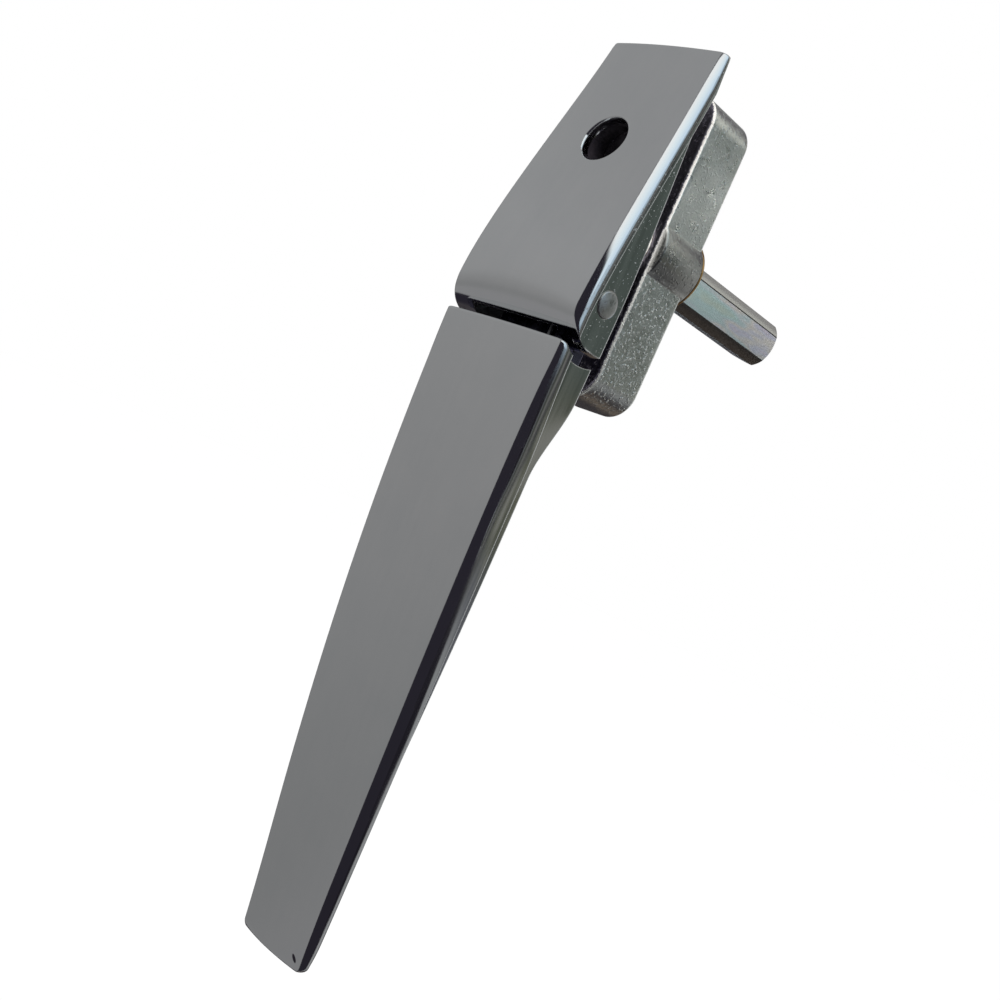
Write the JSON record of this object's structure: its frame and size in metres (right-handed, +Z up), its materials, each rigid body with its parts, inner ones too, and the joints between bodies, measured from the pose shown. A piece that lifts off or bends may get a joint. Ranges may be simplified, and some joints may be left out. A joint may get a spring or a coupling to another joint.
{
  "type": "folding door handle",
  "caption": "Chromed door handle: a tapered lever folds out from a turning head that drives a square spindle through a rough cast base.",
  "frame": {"origin": "on the spindle's axis, in the plane of the base casting's front face, midway between the two fixing holes", "axes": "+X to the right across the handle, +Y into the door along the spindle, +Z up, with the lever hanging along -Z"},
  "size_m": [0.0348, 0.0767, 0.1901],
  "materials": {
    "raw_casting": "rough as cast",
    "bronze": "turned",
    "nylon": "plain",
    "chrome": "polished plate",
    "zinc_plate": "zinc plate with an iridescent passivate",
    "bare_steel": "drawn",
    "peened_steel": "peened end"
  },
  "bodies": {
    "base": {"base_casting": "raw_casting", "bearing_bush": "bronze", "thrust_washer": "nylon"},
    "head": {"head_casting": "chrome", "spindle": "zinc_plate", "spindle_roll_pin": "bare_steel", "rear_washer": "zinc_plate", "retaining_ring": "bare_steel", "hinge_pin": "peened_steel", "lever_spring": "bare_steel"},
    "lever": {"lever_casting": "chrome", "hinge_washers": "nylon"}
  },
  "joints": [
    {"name": "head_turn", "type": "hinge", "parent": "base", "child": "head", "pos_m": [0, 0, 0], "axis": [0, 1, 0], "range_deg": [0, 90]},
    {"name": "lever_fold", "type": "hinge", "parent": "head", "child": "lever", "pos_m": [0, -0.0121, -0.01595], "axis": [-1, 0, 0], "range_deg": [0, 40], "stiffness_Nm_per_rad": 0.3, "springref_deg": -22.92, "deforming": ["lever_spring"]}
  ]
}
